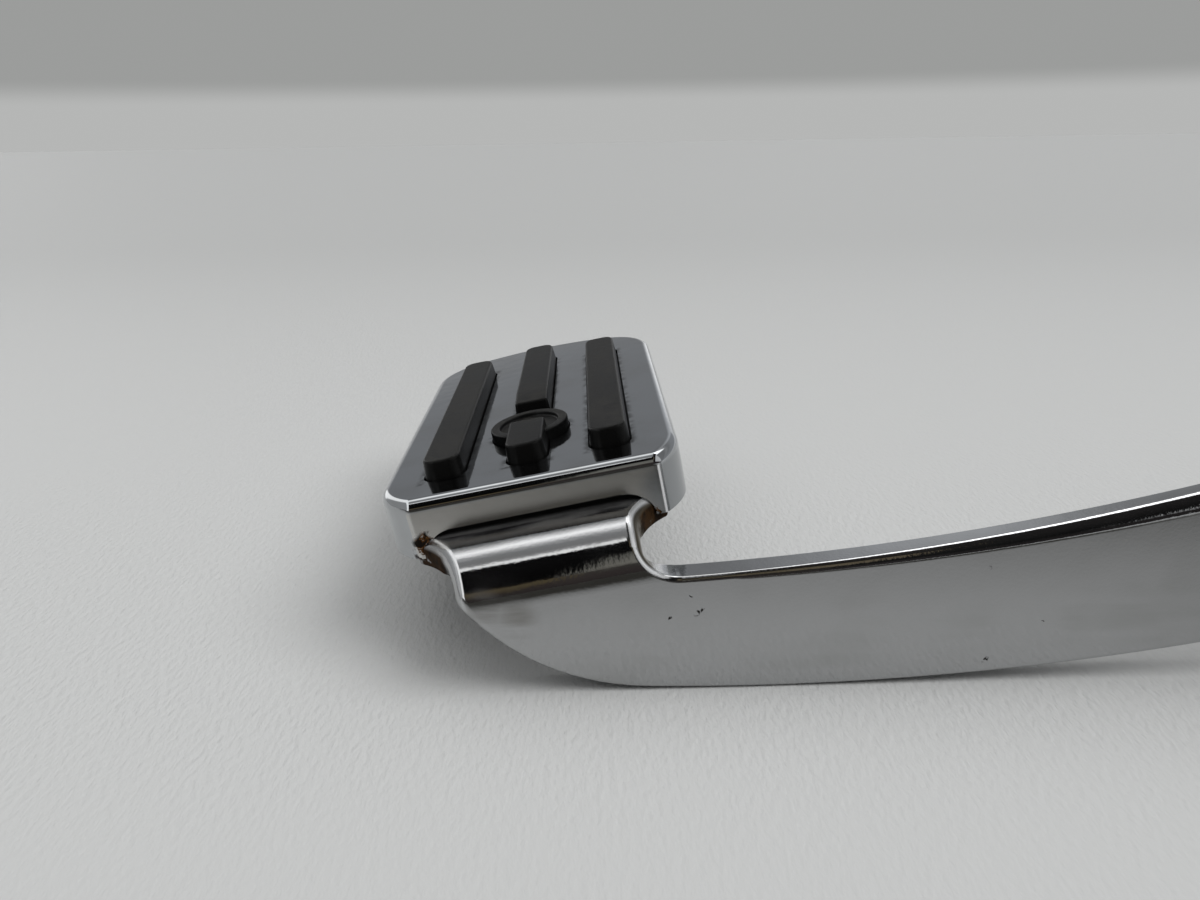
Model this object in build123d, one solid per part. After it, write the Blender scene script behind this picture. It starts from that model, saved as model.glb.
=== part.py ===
from build123d import *
import math
import os

# Rear brake pedal of a motorbike. A plate arm stands on edge. At one end it carries a pivot tube with
# bushes and a short lever for the brake rod. At the other end its upper part is bent over into a
# tongue and a platform, which hold a rubber tread pad under a pressed chrome cover.
#
# Millimetres and degrees. The pieces are drawn square to the pad: X runs along the arm towards the
# pivot, Y across the pad and Z up from it. The pivot axis is Y through the origin. At the end all but
# the lever is turned by rest_tilt about that axis, which brings the arm's lower edge level.

# Place of the pad, from the pivot axis
pivot_reach = 170.0
pivot_drop = 23.3
rest_tilt = 10.5

# Pad cover, a shell open underneath with a straight near end and a bowed far end
cover_width = 50.0
cover_length = 88.0
cover_height = 10.0
cover_wall = 1.2
cover_near_corner = 9.5
cover_far_corner = 14.0
cover_bow_radius = 46.0
cover_edge = 1.5
arch_clearance = 0.9
arch_side_clearance = 1.2
arch_bow_radius = 300.0
arch_corner = 1.2

# Rubber pad, with bars that stand through the cover and a disc that parts the middle one
bar_pitch = 14.0
bar_root = 7.0
bar_top = 6.2
bar_rise = 3.3
bar_near = 7.4
side_bar_far = 71.5
middle_bar_far = 75.5
bar_end_round = 2.4
bar_edge = 0.6
bar_edge_slope = 45.0
near_bar_end = 21.0
far_bar_start = 32.5
disc_diameter = 14.0
disc_place = 22.8
disc_rise = 2.0
disc_recess_diameter = 10.6
disc_recess_depth = 0.8
slot_clearance = 0.2
slab_clearance = 0.3

# Arm plate, its bend and the platform under the pad
plate = 5.0
tongue_depth = 6.8
tongue_reach = 12.0
bend_radius = 8.5
neck_left = 13.0
neck_right = 15.0
flare_radius = 14.0
flare_spread = 3.8
platform_clearance = 0.8
notch_radius = 5.5
toe_radius = 6.0
toe_turn = 29.0
sole_radius = 38.0
sole_turn = 48.2
belly_end_drop = 15.4
top_start_depth = 14.6
top_dip_reach = 76.0
top_dip_depth = 19.0
top_end_rise = 14.8
eye_radius = 17.0
eye_blend = 25.0

# Pivot tube, bushes and rod lever
tube_diameter = 25.0
tube_length = 39.0
tube_outboard = 4.0
bush_diameter = 19.0
bush_bore = 16.04
bush_length = 14.0
weld_leg = 2.5
lever_plate = 5.0
lever_inset = 3.0
lever_length = 29.5
lever_tip_radius = 9.0
lever_eye_radius = 16.5
rod_hole = 8.2

# Studs that hold the cover down, with their washers and nuts
stud_diameter = 6.0
stud_near = 40.0
stud_far = 64.0
stud_end = 2.0
stud_hole_clearance = 0.3
washer_diameter = 12.0
washer_thickness = 1.6
spring_washer_diameter = 10.0
spring_washer_thickness = 1.5
nut_across_flats = 10.0
nut_height = 5.0
thread_clearance = 0.05

# Levels and places that follow from the sizes above
pad_x = -pivot_reach
cover_top = pivot_drop
cover_under = cover_top - cover_wall
cover_foot = cover_top - cover_height
tongue_top = cover_top - tongue_depth
tongue_under = tongue_top - plate
arm_back = tube_length / 2 - tube_outboard
arm_front = arm_back - plate
cover_front = arm_front + tongue_reach
bend_y = arm_front + bend_radius
bend_z = tongue_top - bend_radius
bend_end = pad_x + neck_right + max(notch_radius, flare_spread)
platform_inset = cover_wall + platform_clearance
platform_near = cover_front + platform_inset
stud_hole = stud_diameter + 2 * stud_hole_clearance
stud_places = [
    (pad_x + bar_pitch / 2, cover_front + stud_near),
    (pad_x - bar_pitch / 2, cover_front + stud_far),
]
lever_start = -tube_length / 2 + lever_inset

# How far a cut or a joined piece runs past the face it has to clear
reach_past = 1.0
tongue_end = platform_near + reach_past


def pad_outline(inset):
    """Plan of the pad, drawn in from the cover's outer face."""
    half = cover_width / 2 - inset
    near = cover_front + inset
    far = cover_front + cover_length - inset
    bow = cover_bow_radius - inset
    shoulder = far - bow + math.sqrt(bow**2 - half**2)
    edges = [
        Line((pad_x - half, near), (pad_x + half, near)),
        Line((pad_x + half, near), (pad_x + half, shoulder)),
        ThreePointArc((pad_x + half, shoulder), (pad_x, far), (pad_x - half, shoulder)),
        Line((pad_x - half, shoulder), (pad_x - half, near)),
    ]
    corners = make_face(edges).vertices().sort_by(Axis.Y)
    face = fillet(corners[:2], cover_near_corner - inset)
    corners = face.vertices().sort_by_distance((pad_x - half, shoulder))[:1]
    face = fillet(corners, cover_far_corner - inset)
    corners = face.vertices().sort_by_distance((pad_x + half, shoulder))[:1]
    return fillet(corners, cover_far_corner - inset)


def bar_outline(x, near, far, round_ends, grow):
    """Plan of one bar at its root, grown on all sides by a clearance. Ends that aren't rounded are square."""
    middle = Location((x, cover_front + (near + far) / 2))
    face = middle * Rectangle(bar_root + 2 * grow, far - near + 2 * grow)
    corners = face.vertices().sort_by(Axis.Y)
    ends = {"near": corners[:2], "far": corners[2:]}
    return fillet([corner for end in round_ends for corner in ends[end]], bar_end_round + grow)


def bar_plans(grow):
    """Plans of the two full bars and the two halves of the middle one."""
    return [
        bar_outline(pad_x - bar_pitch, bar_near, side_bar_far, ["near", "far"], grow),
        bar_outline(pad_x, bar_near, near_bar_end, ["near"], grow),
        bar_outline(pad_x, far_bar_start, middle_bar_far, ["far"], grow),
        bar_outline(pad_x + bar_pitch, bar_near, side_bar_far, ["near", "far"], grow),
    ]


def disc_plan(grow):
    return Location((pad_x, cover_front + disc_place)) * Circle(disc_diameter / 2 + grow)


def upright(plan, low, high):
    """A plan drawn up from one level to another."""
    return extrude(Location((0, 0, low)) * plan, amount=high - low)


def stud_rounds(diameter, low, high):
    """One round of a diameter at each stud."""
    return [upright(Location(place) * Circle(diameter / 2), low, high) for place in stud_places]


def make_cover():
    outside = upright(pad_outline(0), cover_foot, cover_top)
    outside = fillet(outside.faces().sort_by(Axis.Z)[-1].edges(), cover_edge)
    inside = upright(pad_outline(cover_wall), cover_foot - reach_past, cover_under)
    cover = outside - inside
    for plan in bar_plans(slot_clearance) + [disc_plan(slot_clearance)]:
        cover -= upright(plan, cover_under - reach_past, cover_top + reach_past)
    return cover - make_arch()


def make_arch():
    """The opening in the front wall that the tongue comes out of, with a slightly bowed top."""
    half = max(neck_left, neck_right) + flare_spread + arch_side_clearance
    top = tongue_top + arch_clearance
    side = top - arch_bow_radius + math.sqrt(arch_bow_radius**2 - half**2)
    foot = cover_foot - reach_past
    edges = [
        Line((-half, foot), (half, foot)),
        Line((half, foot), (half, side)),
        ThreePointArc((half, side), (0, top), (-half, side)),
        Line((-half, side), (-half, foot)),
    ]
    face = make_face(edges)
    shape = fillet(face.vertices().sort_by(Axis.Y)[-2:], arch_corner)
    wall = Plane(origin=(pad_x, cover_front - reach_past, 0), x_dir=(1, 0, 0), z_dir=(0, -1, 0))
    return extrude(wall * shape, amount=-cover_near_corner - reach_past)


def make_rubber():
    slab = upright(pad_outline(cover_wall + slab_clearance), tongue_top, cover_under)
    disc_top = cover_top + disc_rise
    disc = upright(disc_plan(0), cover_under, disc_top)
    recess = Location((pad_x, cover_front + disc_place)) * Circle(disc_recess_diameter / 2)
    disc -= upright(recess, disc_top - disc_recess_depth, disc_top + reach_past)
    rubber = slab + disc
    bar_height = cover_wall + bar_rise - bar_edge
    draft = math.degrees(math.atan((bar_root - bar_top) / 2 / bar_height))
    for plan in bar_plans(0):
        bar = extrude(Location((0, 0, cover_under)) * plan, amount=bar_height, taper=draft)
        rubber += bar + extrude(bar.faces().sort_by(Axis.Z)[-1], amount=bar_edge, taper=bar_edge_slope)
    for hole in stud_rounds(stud_hole, tongue_top - reach_past, cover_under):
        rubber -= hole
    return rubber


def arm_face():
    """Front view of the arm: neck, toe, sole and belly below, notch and long top edge above."""
    left = pad_x - neck_left
    right = pad_x + neck_right
    neck = Line((left, tongue_top), (left, tongue_under))
    toe = JernArc(neck @ 1, (0, -1), toe_radius, toe_turn)
    sole = JernArc(toe @ 1, toe % 1, sole_radius, sole_turn)
    belly = TangentArc(sole @ 1, (0, -belly_end_drop), tangent=sole % 1)
    start = (right, cover_top - top_start_depth)
    dip = (pad_x + top_dip_reach, cover_top - top_dip_depth)
    top = ThreePointArc((0, top_end_rise), dip, start)
    edges = [
        neck,
        toe,
        sole,
        belly,
        Line(belly @ 1, (0, 0)),
        Line((0, 0), top @ 0),
        top,
        Line(top @ 1, (right, tongue_top)),
        Line((right, tongue_top), (left, tongue_top)),
    ]
    face = make_face(edges)
    corner = face.vertices().sort_by_distance(start)[0]
    face = fillet(corner, notch_radius) + Circle(eye_radius)
    joins = [v for v in face.vertices() if math.isclose(math.hypot(v.X, v.Y), eye_radius, abs_tol=1e-4)]
    return fillet(joins, eye_blend)


def sheet_profile(foot):
    """Section of the bent sheet across the arm: platform end, bend and upright plate."""
    inner = bend_radius - plate
    slant = math.sqrt(0.5)
    outside_mid = (bend_y - bend_radius * slant, bend_z + bend_radius * slant)
    inside_mid = (bend_y - inner * slant, bend_z + inner * slant)
    edges = [
        Line((tongue_end, tongue_top), (bend_y, tongue_top)),
        ThreePointArc((bend_y, tongue_top), outside_mid, (arm_front, bend_z)),
        Line((arm_front, bend_z), (arm_front, foot)),
        Line((arm_front, foot), (arm_back, foot)),
        Line((arm_back, foot), (arm_back, bend_z)),
        ThreePointArc((arm_back, bend_z), inside_mid, (bend_y, tongue_under)),
        Line((bend_y, tongue_under), (tongue_end, tongue_under)),
        Line((tongue_end, tongue_under), (tongue_end, tongue_top)),
    ]
    return make_face(edges)


def flare_plan(side, neck):
    """Plan of the web that widens the neck towards the platform, on one side."""
    run = math.sqrt(flare_radius**2 - (flare_radius - flare_spread) ** 2)
    edge = pad_x + side * neck
    start = (edge, platform_near - run)
    arc = JernArc(start, (0, 1), flare_radius, -side * math.degrees(math.asin(run / flare_radius)))
    edges = [
        arc,
        Line(arc @ 1, ((arc @ 1).X, tongue_end)),
        Line(((arc @ 1).X, tongue_end), (pad_x, tongue_end)),
        Line((pad_x, tongue_end), (pad_x, start[1])),
        Line((pad_x, start[1]), start),
    ]
    return make_face(edges)


def make_sheet(face):
    """The bent sheet over the neck, and the flat one beyond it, before the outline is cut."""
    foot = face.bounding_box().min.Y - reach_past
    head = face.bounding_box().max.Y + reach_past
    left = pad_x - cover_width / 2
    across = Plane(origin=(left, 0, 0), x_dir=(0, 1, 0), z_dir=(1, 0, 0))
    bent = extrude(across * sheet_profile(foot), amount=bend_end - left)
    length = eye_radius - bend_end
    flat = Pos(bend_end + length / 2, arm_front + plate / 2, (foot + head) / 2)
    return bent + flat * Box(length, plate, head - foot)


def make_arm():
    face = arm_face()
    sheet = make_sheet(face)
    front = Plane(origin=(0, arm_front - reach_past, 0), x_dir=(1, 0, 0), z_dir=(0, -1, 0))
    arm = sheet & extrude(front * face, amount=arm_front - platform_near - 2 * reach_past)
    for side, neck in ((-1, neck_left), (1, neck_right)):
        arm += sheet & upright(flare_plan(side, neck), tongue_under, tongue_top)
    arm += upright(pad_outline(platform_inset), tongue_under, tongue_top)
    arm -= along_pivot(Circle(tube_diameter / 2), arm_front - reach_past, arm_back + reach_past)
    for hole in stud_rounds(stud_hole, tongue_under - reach_past, tongue_top + reach_past):
        arm -= hole
    return arm


def along_pivot(section, low, high):
    """A section square to the pivot axis, drawn along it from one place to another."""
    plane = Plane(origin=(0, low, 0), x_dir=(-1, 0, 0), z_dir=(0, 1, 0))
    return extrude(plane * section, amount=high - low)


def make_tube():
    ring = Circle(tube_diameter / 2) - Circle(bush_diameter / 2)
    return along_pivot(ring, -tube_length / 2, tube_length / 2)


def make_bush(low):
    ring = Circle(bush_diameter / 2) - Circle(bush_bore / 2)
    return along_pivot(ring, low, low + bush_length)


def make_weld(face, way):
    """A fillet bead round the tube, on a face of the arm or lever."""
    radius = tube_diameter / 2
    corners = [(radius, face), (radius + weld_leg, face), (radius, face + way * weld_leg)]
    bead = make_face(Polyline(*corners, close=True))
    return revolve(Plane.XY * bead, axis=Axis.Y)


def make_lever():
    """Two rounds joined by tangents, hung straight down from the pivot axis."""
    eye = Circle(lever_eye_radius)
    tip = Location((0, -lever_length)) * Circle(lever_tip_radius)
    shape = make_hull((eye + tip).edges())
    shape -= Circle(tube_diameter / 2)
    shape -= Location((0, -lever_length)) * Circle(rod_hole / 2)
    return along_pivot(shape, lever_start, lever_start + lever_plate)


def make_fasteners():
    """Studs, washers, spring washers and nuts, from the cover down to the studs' ends."""
    washer_low = tongue_under - washer_thickness
    spring_low = washer_low - spring_washer_thickness
    nut_low = spring_low - nut_height
    bore = stud_diameter + 2 * thread_clearance

    def rings(plan, low, high):
        ring = plan - Circle(bore / 2)
        return Compound([upright(Location(place) * ring, low, high) for place in stud_places])

    hexagon = RegularPolygon(nut_across_flats / 2, 6, major_radius=False)
    return {
        "cover_studs": Compound(stud_rounds(stud_diameter, nut_low - stud_end, cover_under)),
        "flat_washers": rings(Circle(washer_diameter / 2), washer_low, tongue_under),
        "spring_washers": rings(Circle(spring_washer_diameter / 2), spring_low, washer_low),
        "cover_nuts": rings(hexagon, nut_low, spring_low),
    }


def make_pieces():
    turned = {
        "pedal_arm": make_arm(),
        "pad_cover": make_cover(),
        "pad_rubber": make_rubber(),
        "pivot_tube": make_tube(),
        "inboard_bush": make_bush(-tube_length / 2),
        "outboard_bush": make_bush(tube_length / 2 - bush_length),
    }
    turned.update(make_fasteners())
    pieces = {name: Rot(0, -rest_tilt, 0) * shape for name, shape in turned.items()}
    pieces["rod_lever"] = make_lever()
    lever_face = lever_start + lever_plate
    pieces["weld_beads"] = Compound([make_weld(arm_front, -1), make_weld(lever_face, 1)])
    return pieces


os.makedirs("parts", exist_ok=True)
for name, shape in make_pieces().items():
    export_step(shape, f"parts/{name}.step")
    print(name, len(shape.solids()), "solids", round(shape.volume), "mm3")
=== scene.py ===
import math

import bpy
from mathutils import Matrix, Vector


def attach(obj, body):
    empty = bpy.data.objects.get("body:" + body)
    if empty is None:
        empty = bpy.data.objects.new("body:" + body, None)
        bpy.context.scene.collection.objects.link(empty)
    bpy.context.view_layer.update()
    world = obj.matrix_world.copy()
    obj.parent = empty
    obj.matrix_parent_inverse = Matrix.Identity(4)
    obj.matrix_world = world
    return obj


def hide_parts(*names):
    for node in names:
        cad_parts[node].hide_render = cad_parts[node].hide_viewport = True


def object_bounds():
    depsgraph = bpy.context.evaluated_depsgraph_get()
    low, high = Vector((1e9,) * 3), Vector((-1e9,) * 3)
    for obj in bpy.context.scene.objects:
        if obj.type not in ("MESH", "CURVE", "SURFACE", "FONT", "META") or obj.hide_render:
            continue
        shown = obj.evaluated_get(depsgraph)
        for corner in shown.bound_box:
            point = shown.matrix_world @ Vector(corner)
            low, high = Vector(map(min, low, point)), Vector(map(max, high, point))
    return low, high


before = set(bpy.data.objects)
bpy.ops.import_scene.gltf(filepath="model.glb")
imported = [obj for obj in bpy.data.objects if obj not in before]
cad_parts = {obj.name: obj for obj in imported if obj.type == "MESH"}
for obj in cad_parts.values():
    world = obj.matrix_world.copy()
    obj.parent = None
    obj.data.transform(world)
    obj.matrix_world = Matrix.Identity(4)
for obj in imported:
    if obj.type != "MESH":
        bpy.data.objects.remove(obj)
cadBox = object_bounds()

# Pieces are drawn in millimetres, square to the pad, then tilted and made metres by seatPiece
mm = 0.001
tiny = 1e-4
overcut = 1.0
facingUp = 0.9
noiseMean = 0.5
sharp = math.radians(40)
padX, coverFront, coverTop, restTilt = -170.0, 22.5, 23.3, 10.5
laidAlong = Matrix.Rotation(math.radians(-90), 4, "X")
stoodUp = Matrix.Rotation(math.radians(90), 4, "X")
print("frame loaded, box", [round(v / mm, 1) for v in cadBox[1] - cadBox[0]], "mm")


# modelling helpers

def enterEdit():
    bpy.ops.object.mode_set(mode="EDIT")


def leaveEdit():
    bpy.ops.object.mode_set(mode="OBJECT")


def clearSelection():
    if bpy.context.object and bpy.context.object.mode == "EDIT":
        leaveEdit()
    bpy.ops.object.select_all(action="DESELECT")


def pick(piece):
    clearSelection()
    piece.select_set(True)
    bpy.context.view_layer.objects.active = piece


def edit(piece):
    pick(piece)
    enterEdit()
    bpy.ops.mesh.select_all(action="SELECT")


def selectNone(piece, kind):
    edit(piece)
    bpy.ops.mesh.select_mode(type=kind)
    bpy.ops.mesh.select_all(action="DESELECT")


# the four that follow leave the piece in edit mode
def selectFaces(piece, test):
    selectNone(piece, "FACE")
    leaveEdit()
    for face in piece.data.polygons:
        face.select = test(face)
    enterEdit()


def selectEdges(piece, test):
    selectNone(piece, "EDGE")
    leaveEdit()
    points = [v.co for v in piece.data.vertices]
    for edge in piece.data.edges:
        edge.select = test(points[edge.vertices[0]], points[edge.vertices[1]])
    enterEdit()


def selectPoints(piece, test):
    selectNone(piece, "VERT")
    leaveEdit()
    for point in piece.data.vertices:
        point.select = test(point.co)
    enterEdit()


# sharp edges that lie at one level
def selectCreases(piece, level):
    selectNone(piece, "EDGE")
    bpy.ops.mesh.edges_select_sharp(sharpness=sharp)
    leaveEdit()
    heights = [v.co.z for v in piece.data.vertices]
    for edge in piece.data.edges:
        edge.select = edge.select and all(abs(heights[v] - level) < tiny for v in edge.vertices)
    enterEdit()


def rollSelected(width, segments):
    bpy.ops.mesh.bevel(offset=width, segments=segments, affect="EDGES")
    leaveEdit()


def outwards(piece):
    edit(piece)
    bpy.ops.mesh.remove_doubles(threshold=tiny)
    bpy.ops.mesh.normals_make_consistent(inside=False)
    leaveEdit()


# a new piece in edit mode, with a single selected point to extrude from
def startPoint(name, place):
    clearSelection()
    bpy.ops.mesh.primitive_plane_add(size=1)
    piece = bpy.context.object
    piece.name = piece.data.name = name
    edit(piece)
    bpy.ops.mesh.select_mode(type="VERT")
    bpy.ops.mesh.merge(type="CENTER")
    bpy.ops.mesh.select_all(action="SELECT")
    bpy.ops.transform.translate(value=place)
    return piece


def extrudeBy(way):
    bpy.ops.mesh.extrude_region_move(TRANSFORM_OT_translate={"value": way})


def onArc(arc, degrees):
    turn = math.radians(degrees)
    return Vector((arc[0] + arc[2] * math.cos(turn), arc[1] + arc[2] * math.sin(turn), 0))


# the outline is a list of arcs (centre x, centre y, radius, from degrees, to degrees), joined by lines
def drawSolid(name, arcs, low, high, step=4.0, chord=2.5):
    pen = onArc(arcs[0], arcs[0][3])
    piece = startPoint(name, pen)
    for arc in arcs:
        x, y, radius, begin, end = arc
        start = onArc(arc, begin)
        if (start - pen).length > tiny:
            extrudeBy(start - pen)
        sweep = math.radians(end - begin)
        steps = max(1, math.ceil(abs(end - begin) / step), math.ceil(abs(sweep) * radius / chord))
        bpy.ops.mesh.spin(steps=steps, angle=sweep, center=(x, y, 0), axis=(0, 0, -1))
        pen = onArc(arc, end)
    bpy.ops.mesh.select_all(action="SELECT")
    bpy.ops.mesh.remove_doubles(threshold=tiny)
    bpy.ops.mesh.edge_face_add()
    bpy.ops.transform.translate(value=(0, 0, low))
    extrudeBy((0, 0, high - low))
    outwards(piece)
    return piece


# a closed profile of (radius, height) points, turned about the Z axis
def turnProfile(name, profile, steps=96):
    points = [Vector((radius, 0, height)) for radius, height in profile]
    piece = startPoint(name, points[0])
    for here, there in zip(points, points[1:] + points[:1]):
        extrudeBy(there - here)
    bpy.ops.mesh.select_all(action="SELECT")
    bpy.ops.mesh.remove_doubles(threshold=tiny)
    bpy.ops.mesh.spin(steps=steps, angle=math.tau, center=(0, 0, 0), axis=(0, 0, 1))
    outwards(piece)
    return piece


def circleArcs(x, y, radius):
    return [(x, y, radius, 0, 180), (x, y, radius, 180, 360)]


def applyModifiers(piece):
    pick(piece)
    for modifier in list(piece.modifiers):
        bpy.ops.object.modifier_apply(modifier=modifier.name)


def combine(piece, other, operation):
    modifier = piece.modifiers.new("combine", "BOOLEAN")
    modifier.operation = operation
    modifier.solver = "EXACT"
    modifier.object = other
    applyModifiers(piece)
    bpy.data.objects.remove(other)


def cutAway(piece, cutter):
    combine(piece, cutter, "DIFFERENCE")


def cutHole(piece, x, y, radius, low, high):
    cutAway(piece, drawSolid("hole", circleArcs(x, y, radius), low, high))


def roundSharp(piece, width, segments):
    bevel = piece.modifiers.new("rounding", "BEVEL")
    bevel.width = width
    bevel.segments = segments
    bevel.limit_method = "ANGLE"
    bevel.angle_limit = sharp
    applyModifiers(piece)


def movePiece(piece, matrix):
    pick(piece)
    piece.matrix_world = matrix
    bpy.ops.object.transform_apply(location=True, rotation=True, scale=True)


def seatPiece(piece, node, finish, tilted=True, smoothAngle=35):
    turn = Matrix.Rotation(math.radians(-restTilt), 4, "Y") if tilted else Matrix.Identity(4)
    movePiece(piece, turn @ Matrix.Scale(mm, 4))
    bpy.ops.object.shade_smooth_by_angle(angle=math.radians(smoothAngle))
    normals = piece.modifiers.new("flat faces stay flat", "WEIGHTED_NORMAL")
    normals.keep_sharp = True
    applyModifiers(piece)
    piece.data.materials.clear()
    piece.data.materials.append(finish)
    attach(piece, "root")
    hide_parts(node)
    print("seated", piece.name, len(piece.data.polygons), "faces")


# material helpers

def addNode(tree, kind, inputs=None, **settings):
    made = tree.nodes.new("ShaderNode" + kind)
    for key, value in settings.items():
        setattr(made, key, value)
    for socket, value in (inputs or {}).items():
        if isinstance(value, bpy.types.NodeSocket):
            tree.links.new(value, made.inputs[socket])
        else:
            made.inputs[socket].default_value = value
    return made


def calc(tree, operation, *values, clamp=False):
    inputs = dict(enumerate(values))
    return addNode(tree, "Math", inputs, operation=operation, use_clamp=clamp).outputs[0]


def times(tree, first, second):
    return calc(tree, "MULTIPLY", first, second)


# 1 where a mask is 0, and 0 where it is 1
def flip(tree, mask):
    return calc(tree, "SUBTRACT", 1.0, mask)


def vectorCalc(tree, operation, first, second):
    made = addNode(tree, "VectorMath", {0: first, 1: second}, operation=operation)
    return made.outputs["Value" if operation == "DISTANCE" else "Vector"]


def axes(tree, vector):
    return addNode(tree, "SeparateXYZ", {0: vector}).outputs


def coords(tree, kind):
    return addNode(tree, "TexCoord").outputs[kind]


# object coordinates turned back square to the pad, in millimetres from the cover's near top edge
def padPlace(tree, place):
    turned = addNode(tree, "Mapping", {
        "Vector": place,
        "Scale": (1 / mm, 1 / mm, 1 / mm),
        "Rotation": (0, math.radians(restTilt), 0),
        "Location": (-padX, -coverFront, -coverTop),
    })
    return turned.outputs[0]


def noise(tree, place, scale, detail, stretch=(1, 1, 1)):
    drawn = addNode(tree, "Mapping", {"Vector": place, "Scale": stretch}).outputs[0]
    made = addNode(tree, "TexNoise", {"Vector": drawn, "Scale": scale, "Detail": detail})
    return made.outputs["Fac"]


def ramp(tree, value, low, high):
    made = addNode(tree, "MapRange", {
        "Value": value, "From Min": low, "From Max": high}, clamp=True, interpolation_type="SMOOTHSTEP")
    return made.outputs[0]


def mixColour(tree, amount, first, second):
    return addNode(tree, "Mix", {0: amount, 6: first, 7: second}, data_type="RGBA").outputs[2]


def mixValue(tree, amount, first, second):
    return addNode(tree, "Mix", {0: amount, 2: first, 3: second}).outputs[0]


# one surface (colour, gloss) laid over another where a mask is 1
def layer(tree, mask, under, over):
    return mixColour(tree, mask, under[0], over[0]), mixValue(tree, mask, under[1], over[1])


def newFinish(name, metallic, specular=0.5):
    finish = bpy.data.materials.new(name)
    finish.use_nodes = True
    tree = finish.node_tree
    shader = tree.nodes["Principled BSDF"]
    shader.inputs["Metallic"].default_value = metallic
    shader.inputs["Specular IOR Level"].default_value = specular
    return finish, tree, shader, coords(tree, "Object")


def feed(tree, shader, **sockets):
    for name, value in sockets.items():
        tree.links.new(value, shader.inputs[name.replace("_", " ")])


def bump(tree, height, depth, under=None):
    inputs = {"Height": height, "Distance": depth}
    if under:
        inputs["Normal"] = under
    return addNode(tree, "Bump", inputs).outputs[0]


def anyOf(tree, masks):
    total = masks[0]
    for mask in masks[1:]:
        total = calc(tree, "MAXIMUM", total, mask)
    return total


# 1 inside a ball of some radius about a place, falling to 0 at its edge
def spot(tree, place, centre, radius, soft):
    apart = vectorCalc(tree, "DISTANCE", place, centre)
    return flip(tree, ramp(tree, apart, radius * (1 - soft), radius))


# balls are (x, y, z, radius)
def spots(tree, place, balls, soft):
    return anyOf(tree, [spot(tree, place, ball[:3], ball[3], soft) for ball in balls])


# a place in millimetres with a ragged shift, for spots with torn edges
def frayedPlace(tree, place, padMm, grain, reach):
    shift = times(tree, calc(tree, "SUBTRACT", noise(tree, place, *grain), noiseMean), reach)
    allWays = addNode(tree, "CombineXYZ", {0: shift, 1: shift, 2: shift}).outputs[0]
    return vectorCalc(tree, "ADD", padMm, allWays)


# finishes: surfaces are (colour, gloss), noises are (scale, detail), and the pairs that narrow a mask
# say where it starts and where it is full

# pits are (x, z, radius) on the arm's face, painted rim highlights (x, z, reach, side, lean from, lean to)
armChrome = dict(
    plate=((0.47, 0.475, 0.48, 1), 0.05), haze=((0.42, 0.425, 0.425, 1), 0.14), specular=0.1,
    smudge=((0.27, 0.265, 0.25, 1), 0.3), notchDull=((0.12, 0.105, 0.08, 1), 0.3),
    rimHighlight=((0.66, 0.67, 0.68, 1), 0.28), pit=((0.02, 0.019, 0.017, 1), 0.75),
    rust=(0.036, 0.018, 0.0065, 1), crust=(0.009, 0.005, 0.0025, 1), rustGloss=0.75, rustDepth=0.0002,
    clouds=(70.0, 5.0), streaks=(300.0, 4.0, (0.12, 1, 1)), hazeClouds=(0.38, 0.72), hazeStreaks=(0.3, 0.7),
    waves=(170.0, 1.0), waveDepth=0.00005, ripples=(1900.0, 2.0), rippleDepth=0.000011,
    smudges=[(-9.0, -12.0, -15.0, 4.5), (-4.5, -12.0, -17.0, 4.5)] + [
        (across, -1.5, -8.6, 4.5) for across in range(-14, 15, 2)],
    smudgeSoft=0.9, smudgeStreaks=(0.3, 0.6), smudgeShare=0.3,
    notch=(20.5, 0, -9.5), notchReach=9.5, notchSoft=0.25, notchLean=(0.2, 0.6),
    rimHighlights=[(20.5, -9.5, 9.5, 1, 0.05, 0.16), (-16.5, -9.5, 8.0, -1, 0.3, 0.45)],
    rimHighlightSoft=0.3, rimHighlightFade=(0.4, 0.66), rimHighlightHeight=(-15.4, -13.8), rimHighlightShare=0.3,
    specks=(2600.0, 1.0), speckPeaks=(0.66, 0.76), specksAlong=(85.0, 125.0), specksTop=(-0.012, -0.004),
    speckDepth=0.00002, speckGloss=0.3,
    pits=[
        (21.9, -18.6, 0.42), (22.4, -21.7, 0.5), (23.3, -21.3, 0.42), (18.2, -21.7, 0.36),
        (66.1, -23.4, 0.42), (64.8, -39.3, 0.5), (73.8, -34.2, 0.36), (36.5, -24.5, 0.26),
    ],
    faceDepth=-12.0, pitSoft=0.5, frays=(900.0, 4.0), fray=3.0,
    rusty=[(-16.6, -1.0, -10.6, 6.4), (18.6, -0.2, -10.0, 5.4)], rustSoft=0.4, rustTop=(-8.5, -7.6),
    patches=(450.0, 5.0), rustPatches=(0.28, 0.4), crustPatches=(0.45, 0.65),
)


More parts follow.
